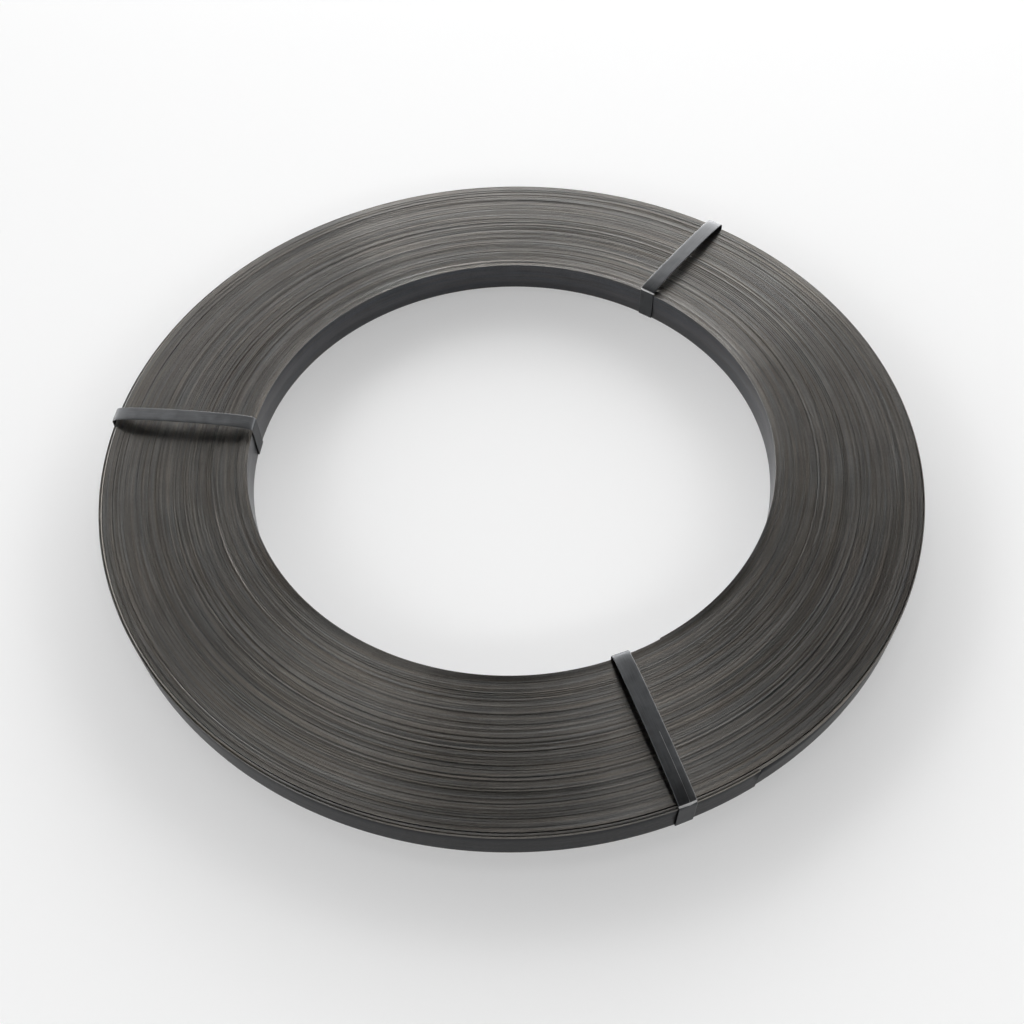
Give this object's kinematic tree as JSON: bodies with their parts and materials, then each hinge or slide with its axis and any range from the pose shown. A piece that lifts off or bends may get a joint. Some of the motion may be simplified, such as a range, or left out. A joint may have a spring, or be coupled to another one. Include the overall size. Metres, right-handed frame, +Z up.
{
  "type": "steel strapping coil",
  "caption": "Flat steel strip wound turn on turn into a low ring with a wide bore, lying flat and held by narrow steel ties round its section.",
  "frame": {"origin": "centre of the bore, on the plane that the undersides of the ties rest on", "axes": "+Z up along the bore axis, -Y towards the viewer of the picture, +X to that viewer's right"},
  "size_m": [0.6313, 0.6312, 0.0341],
  "materials": {
    "strip_steel": "satin, dark mill finish",
    "tie_steel": "satin, dark mill finish"
  },
  "bodies": {
    "root": {"strapping_coil": "strip_steel", "tie_left": "tie_steel", "tie_back": "tie_steel", "tie_front": "tie_steel"}
  },
  "joints": []
}
